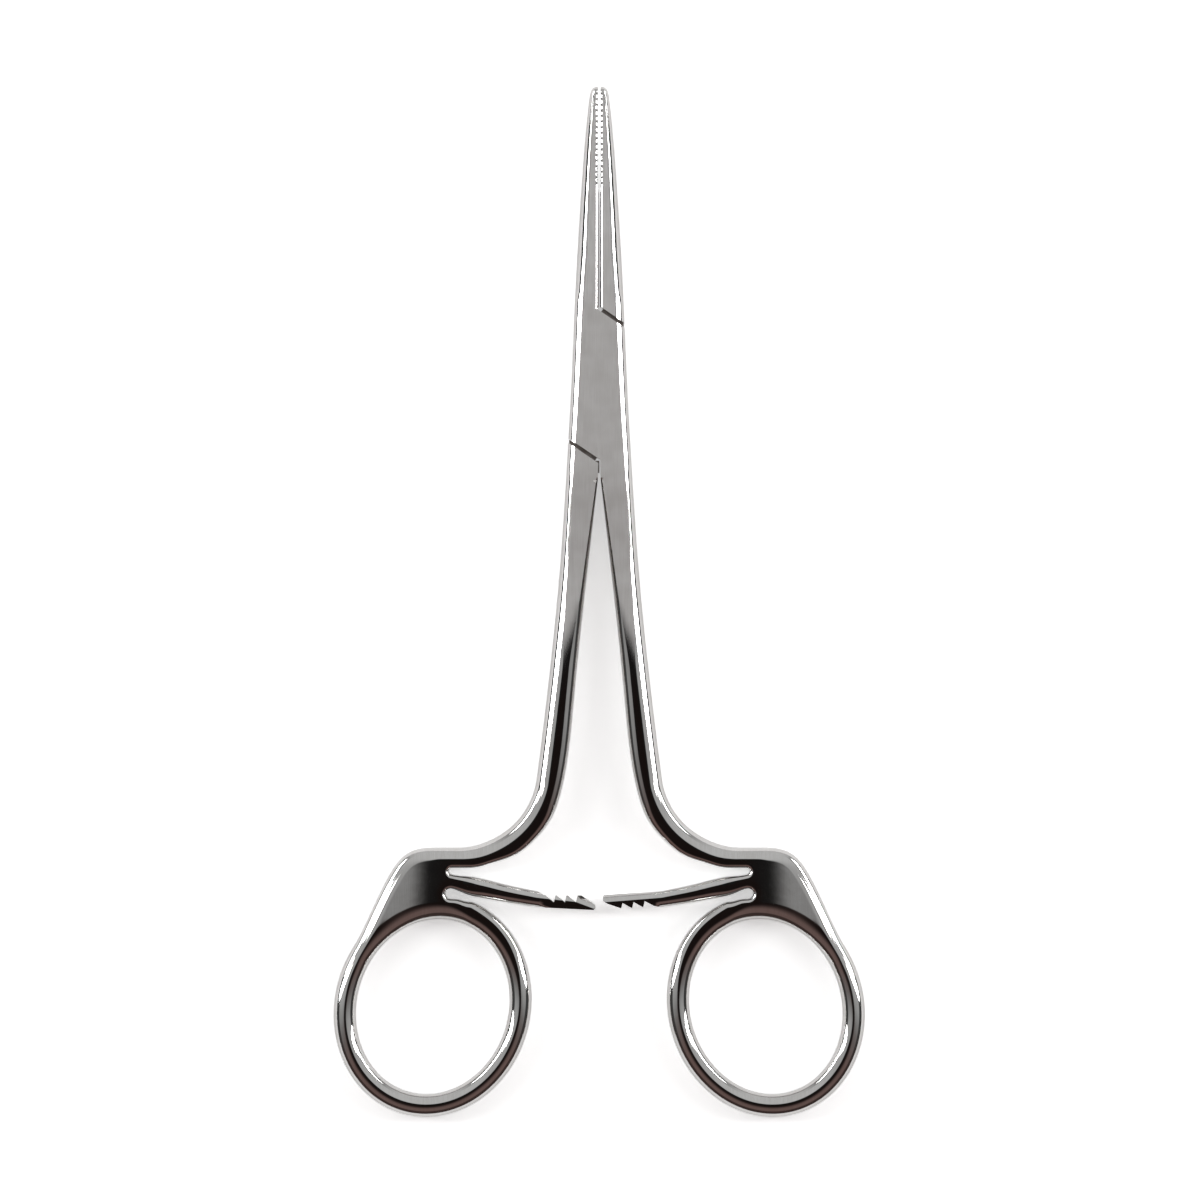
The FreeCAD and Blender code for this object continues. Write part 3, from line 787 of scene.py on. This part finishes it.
def groove_shade_strip(parts, turn):
    """A dark strip of painted shade low down behind the inner face of a jaw: it closes the ends
    of the serrations from below so that they read dark, and past them it stands a little proud
    into the gap to darken it."""
    # dark strips of painted shade under the serrations and along the jaw gap
    for top, low, x_top, x_low in (
        (JAW - 0.7, JAW - 13.9, TIP_GAP / 2 + 0.04, TIP_GAP / 2 + 0.1),
        (JAW - 14.3, WALL_UP + 0.5, TIP_GAP / 2 - 0.04, ROOT_GAP / 2 - 0.15),
    ):
        tip, root, behind = points((x_top, top), (x_low, low), (0.4, 0))
        strip = tight(np.vstack([tip, root, root + behind, tip + behind, tip]), COARSE)
        strip = strip[:-1] * at(turn, 1)
        painted_shade_plate(parts, strip if turn < 0 else strip[::-1], *GROOVE_SHADE_STRIP)


def ledge(parts, lower):
    """The tongue's shoulder carried on under the outer end of a seam, in the dark inner steel: a
    strip of painted shade that closes the seam's open end.
    """
    turn = -1 if lower else 1
    x = at(2.7, seam_corner(lower, SEAM / 2)[0] - 0.12)
    near = np.stack([x, seam_y(x, lower) + turn * 0.09], 1)
    far = np.stack([x, seam_y(x, lower) + turn * (SEAM + 0.3)], 1)
    strip = tight(np.vstack([near, far[::-1], near[:1]]), COARSE)[:-1] * at(turn, 1)
    painted_shade_plate(parts, strip, PLATE_HALF, 0.0)


def crotch_shade_plate(parts):
    """The tongue's heel, which closes the crotch between the shanks half way down: a strip of the
    dark inner steel that paints the shade in the crotch.
    """
    # painted shade for the crotch between the shanks
    left, right, top, low = -0.95, 0.02, -10.35, -12.0
    strip = points((left, top), (left, low), (right, low), (right, top), (left, top))
    painted_shade_plate(parts, tight(strip, COARSE)[:-1], PLATE_HALF, 0.0)


def tongue_arm():
    """Right jaw, tongue through the box and left shank."""
    parts = Parts()
    top = seam_corner(False, SEAM)
    low = seam_corner(True, SEAM)
    outer, front, inner = shank_run(low[1] - 0.1, True)
    fork = inner[-1]
    heel = at(fork[0] * 0.6, seam_y(fork[0] * 0.6, True, SEAM))
    shank = join(
        straight(low, outer[0]), outer, front, inner, straight(fork, heel),
        straight(heel, low)[:-1],
    )
    rim = np.vstack([SIDE[SIDE[:, 1] < -6], outer[outer[:, 1] < FLARE[1] - 0.1]])
    edges = [
        (mirrored(rim), False, outer_round),
        (mirrored(inner_edge(inner, True)), False, inner_round),
        (mirrored(OPENING), True, hole_round),
    ]
    parts.shell([mirrored(shank)[::-1], mirrored(OPENING)], edges, satin_height(edges))
    heel = at(ROOT_GAP / 2 + 0.3, seam_y(ROOT_GAP / 2 + 0.3, False, SEAM))
    root = at(ROOT_GAP / 2, heel[1] + 0.3)
    jaw = jaw_inside(1, root[1])
    side = side_between(JAW - 1.1, top[1] + 0.05)
    outline = join(straight(top, heel), straight(heel, root), jaw, jaw_tip(), side)
    rim = np.vstack([jaw_nose(), SIDE[(SIDE[:, 1] > 4) & (SIDE[:, 1] < JAW - 1)]])
    edges = [(rim, False, outer_round)]
    bevels = [(jaw_line(), JAW_BEVEL)]
    parts.shell([outline], edges, satin_height(edges, bevels), None, bevels)
    groove_shade_strip(parts, 1)
    ledge(parts, False)
    ledge(parts, True)
    crotch_shade_plate(parts)
    # the tongue takes the dark inner steel: painted shade in the seams where it shows
    parts.finish = 1
    parts.shell([tongue_plate(), PIN_BORE], [], level_height(TONGUE_HALF))
    return parts.mesh("tongue_arm_forging")


def tongue_plate():
    """Outline of the tongue: a limb up to the jaw on the right, its half turn down to the
    shank on the left, and the hub's arcs between them."""
    tall = math.sqrt(HUB**2 - LIMB_IN**2)
    limb = points(
        (LIMB_IN, tall), (LIMB_IN, 9.8), (0.9, 10.8), (0.9, ROOM_END), (LIMB_OUT, ROOM_END),
        (LIMB_OUT, 0), (HUB, 0),
    )
    start = math.degrees(math.atan2(tall, LIMB_IN))
    half = np.vstack([tight(limb, COARSE), arc((0, 0), HUB, 0, start - 180, 0.2)])
    return join(half, -half)[:-1]


class Value:
    """A socket that can be used in sums, each of which adds its Math node."""

    def __init__(self, tree, socket):
        self.tree, self.socket = tree, socket

    def math(self, kind, *others):
        """A Math node of a kind, with this value first."""
        terms = (self,) + others
        sockets = [term.socket if isinstance(term, Value) else term for term in terms]
        return self.tree.node("ShaderNodeMath", {"operation": kind}, dict(enumerate(sockets)))

    def __add__(self, other):
        return self.math("ADD", other)

    def __radd__(self, other):
        return self.math("ADD", other)

    def __mul__(self, other):
        return self.math("MULTIPLY", other)

    def __rmul__(self, other):
        return self.math("MULTIPLY", other)

    def __sub__(self, other):
        return self.math("SUBTRACT", other)

    def __rsub__(self, other):
        return (self * -1).math("ADD", other)

    def __truediv__(self, other):
        return self.math("DIVIDE", other)

    def step(self, low, high):
        """0 below low, 1 above high, smooth between."""
        return self.tree.node(
            "ShaderNodeMapRange",
            {"interpolation_type": "SMOOTHSTEP"},
            {"Value": self.socket, "From Min": low, "From Max": high},
        )


class Nodes:
    """A node tree of a material or of the world."""

    def __init__(self, owner):
        owner.use_nodes = True
        self.tree = owner.node_tree
        self.tree.nodes.clear()

    def node(self, kind, settings=None, values=None, output=0):
        """A node of a kind, its settings first, then the values or links of its sockets."""
        made = self.tree.nodes.new(kind)
        for name, value in (settings or {}).items():
            setattr(made, name, value)
        for name, value in (values or {}).items():
            socket = made.inputs[name]
            if isinstance(value, Value):
                value = value.socket
            if isinstance(value, bpy.types.NodeSocket):
                self.tree.links.new(value, socket)
            else:
                socket.default_value = value
        return Value(self, made.outputs[output]) if len(made.outputs) else None

    def mix(self, share, colours):
        """A blend from colour A to colour B."""
        values = {"Factor": share, **colours}
        return self.node("ShaderNodeMix", {"data_type": "RGBA"}, values, 2)


# roughness of the mirror polish and what full satin adds, the steel's two close tones, and the
# two darker tones of the inner steel, which are painted shade
POLISH = 0.055
SATIN = 0.43
STEEL_TONES = {"A": (0.69, 0.68, 0.665, 1), "B": (0.76, 0.755, 0.745, 1)}
INNER_SHADE_TONES = {"A": (0.3, 0.26, 0.24, 1), "B": (0.42, 0.38, 0.36, 1)}
# how fine the patterns are, per metre: the satin grain along each axis, the slow cloud
# and the specks in the polish
GRAIN = (9000.0, 260.0, 900.0)
CLOUD = 420.0
SPECKS = 3200.0


def steel(name, share=None):
    """Stainless steel: mirror polish where the satin share is 0, fine lengthwise satin
    where it is 1. With no share given it comes from the piece's own attribute."""
    material = bpy.data.materials.new(name)
    t = Nodes(material)
    place = t.node("ShaderNodeTexCoord", {}, {}, "Object")
    if share is None:
        share = t.node("ShaderNodeAttribute", {"attribute_name": "satin"}, {}, "Fac")
    lengthwise = t.node("ShaderNodeMapping", {}, {"Vector": place, "Scale": GRAIN})
    grain = t.node("ShaderNodeTexNoise", {}, {"Vector": lengthwise, "Scale": 1.0, "Detail": 3.0})
    cloud = t.node("ShaderNodeTexNoise", {}, {"Vector": place, "Scale": CLOUD, "Detail": 2.0})
    speck = t.node("ShaderNodeTexNoise", {}, {"Vector": place, "Scale": SPECKS, "Detail": 2.0})
    rough = POLISH + share * SATIN + share * (grain - 0.5) * 0.12 + (cloud - 0.5) * 0.03
    rough = rough + speck.step(0.66, 0.74) * 0.05
    height = share * (grain - 0.5) * 0.35 + (cloud - 0.5) * 0.9
    bump = t.node("ShaderNodeBump", {}, {"Strength": 0.35, "Distance": 0.00001, "Height": height})
    tone = t.mix((grain * 0.5 + cloud * 0.5).step(0.3, 0.7), STEEL_TONES)
    shader = t.node(
        "ShaderNodeBsdfPrincipled",
        {},
        {"Base Color": tone, "Metallic": 1.0, "Roughness": rough, "Normal": bump},
    )
    t.node("ShaderNodeOutputMaterial", {}, {"Surface": shader})
    return material


def shaded_inner_steel():
    """Dull steel of the hidden faces inside the box lock, a little brown, and darker than the
    polished steel as painted shade for the seams, grooves and crotch where it shows.
    """
    material = bpy.data.materials.new("shaded_inner_steel")
    t = Nodes(material)
    place = t.node("ShaderNodeTexCoord", {}, {}, "Object")
    cloud = t.node("ShaderNodeTexNoise", {}, {"Vector": place, "Scale": 900.0, "Detail": 3.0})
    # the dark tones are painted shade for the seams, grooves and crotch
    tone = t.mix(cloud.step(0.3, 0.7), INNER_SHADE_TONES)
    rough = 0.34 + cloud * 0.1
    values = {"Base Color": tone, "Metallic": 1.0, "Roughness": rough}
    shader = t.node("ShaderNodeBsdfPrincipled", {}, values)
    t.node("ShaderNodeOutputMaterial", {}, {"Surface": shader})
    return material


def floor_finish():
    """White paper with the object's shadow, brightened for the camera, and a little for
    what the metal mirrors."""
    material = bpy.data.materials.new("white_floor")
    t = Nodes(material)
    rays = t.node("ShaderNodeLightPath", {}, {}, "Is Camera Ray")
    gloss = t.node("ShaderNodeLightPath", {}, {}, "Is Glossy Ray")
    paper = t.node("ShaderNodeBsdfDiffuse", {}, {"Color": (0.9, 0.9, 0.9, 1)})
    strength = rays * 0.5 + gloss * 0.12
    glow = t.node("ShaderNodeEmission", {}, {"Color": (1, 1, 1, 1), "Strength": strength})
    both = t.node("ShaderNodeAddShader", {}, {0: paper, 1: glow})
    t.node("ShaderNodeOutputMaterial", {}, {"Surface": both})
    return material


# bright panels beside the camera, in metres: how far out each reaches, and along y
PANEL_HEIGHT = 0.5
PANELS = (
    ((0.4, 0.62), (0.002, 0.065)),
    ((0.62, 1.6), (0.002, 0.2)),
    ((1.0, 1.8), (0.38, 1.2)),
)
PANEL_GLOW = 13.0
# how far the dark lens leans from straight up, and its half angle in degrees
LENS_TURN = math.radians(2.0)
LENS_HALF = 8.0
# the camera looks straight down: its height, the middle and the width of its picture
CAMERA_HEIGHT = 1.2
PICTURE_MIDDLE = (0.0001, -0.02926)
PICTURE_WIDTH = 0.16296
SENSOR = 36
FLOOR_HALF = 1.6
WARM_TONES = {"A": (1, 1, 1, 1), "B": (1.0, 0.66, 0.6, 1)}


def studio():
    """A round tent, by the angle from straight up and the side the light comes from: a
    dark hole for the lens, a grey ceiling that is warmer and darker on the rings' side, a
    dark gap above the table. Three bright panels hang on the left and three on the right,
    each as bright per area as the others."""
    world = bpy.data.worlds.new("studio")
    bpy.context.scene.world = world
    t = Nodes(world)
    way = t.node("ShaderNodeTexCoord", {}, {}, "Generated")
    split = t.node("ShaderNodeSeparateXYZ", {}, {0: way}).socket.node
    y, z = (Value(t, split.outputs[i]) for i in (1, 2))
    angle = z.math("ARCCOSINE") * (180 / math.pi)
    level = (1 - z * z).math("MAXIMUM", 0.0001).math("SQRT")
    up = y / level
    lens = (z * math.cos(LENS_TURN) - y * math.sin(LENS_TURN)).math("ARCCOSINE") * (180 / math.pi)
    below = 1 - up.step(-0.6, -0.1)
    ceiling = 0.14 + up.step(-0.35, 0.1) * 0.26 + up.step(0.2, 1.0) * 0.15
    light = 0.01 + lens.step(LENS_HALF, 13.0 + below * 24) * ceiling
    gap = angle.step(58.0, 62.0) * (1 - up.step(0.6, 0.95))
    light = light * (1 - gap) + gap * 0.05
    rays = t.node("ShaderNodeLightPath", {}, {}, "Is Camera Ray")
    light = light * (1 - rays) + rays
    tone = t.mix(below * (1 - rays), WARM_TONES)
    shade = t.node("ShaderNodeBackground", {}, {"Color": tone, "Strength": light})
    t.node("ShaderNodeOutputWorld", {}, {"Surface": shade})
    for name, turn in (("left", -1), ("right", 1)):
        for k, ((near, far), (low, top)) in enumerate(PANELS):
            lamp = bpy.data.lights.new("panel_" + name + str(k + 1), "AREA")
            lamp.shape = "RECTANGLE"
            lamp.size = far - near
            lamp.size_y = top - low
            lamp.energy = PANEL_GLOW * math.pi * lamp.size * lamp.size_y
            thing = bpy.data.objects.new(lamp.name, lamp)
            thing.location = (turn * (far + near) / 2, (top + low) / 2, PANEL_HEIGHT)
            bpy.context.scene.collection.objects.link(thing)


def build():
    """The two arms in place of their solids, and the pin as it is, with its finish."""
    arms = (("female_arm", "box_arm", box_arm()), ("male_arm", "tongue_arm", tongue_arm()))
    polished = steel("polished_steel")
    # the second finish is the dark inner steel, painted shade for seams, grooves and crotch
    inner_shade_finish = shaded_inner_steel()
    for node, body, piece in arms:
        piece.data.materials.append(polished)
        piece.data.materials.append(inner_shade_finish)
        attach(piece, body)
        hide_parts(node)
    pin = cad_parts["lock_pin"]
    pin.data.materials.clear()
    pin.data.materials.append(steel("satin_steel", 1.0))


def stage():
    """The floor, the camera and the plain view transform."""
    mesh = bpy.data.meshes.new("floor")
    s = FLOOR_HALF
    mesh.from_pydata([(-s, -s, 0), (s, -s, 0), (s, s, 0), (-s, s, 0)], [], [(0, 1, 2, 3)])
    floor = bpy.data.objects.new("floor", mesh)
    bpy.context.scene.collection.objects.link(floor)
    floor.data.materials.append(floor_finish())
    lens = bpy.data.cameras.new("camera")
    camera = bpy.data.objects.new("camera", lens)
    bpy.context.scene.collection.objects.link(camera)
    camera.location = (*PICTURE_MIDDLE, MID * MM + CAMERA_HEIGHT)
    lens.sensor_width = SENSOR
    lens.lens = SENSOR * CAMERA_HEIGHT / PICTURE_WIDTH
    lens.clip_end = 10
    bpy.context.scene.camera = camera
    bpy.context.scene.view_settings.view_transform = "Standard"


build()
stage()
studio()
bpy.context.view_layer.update()
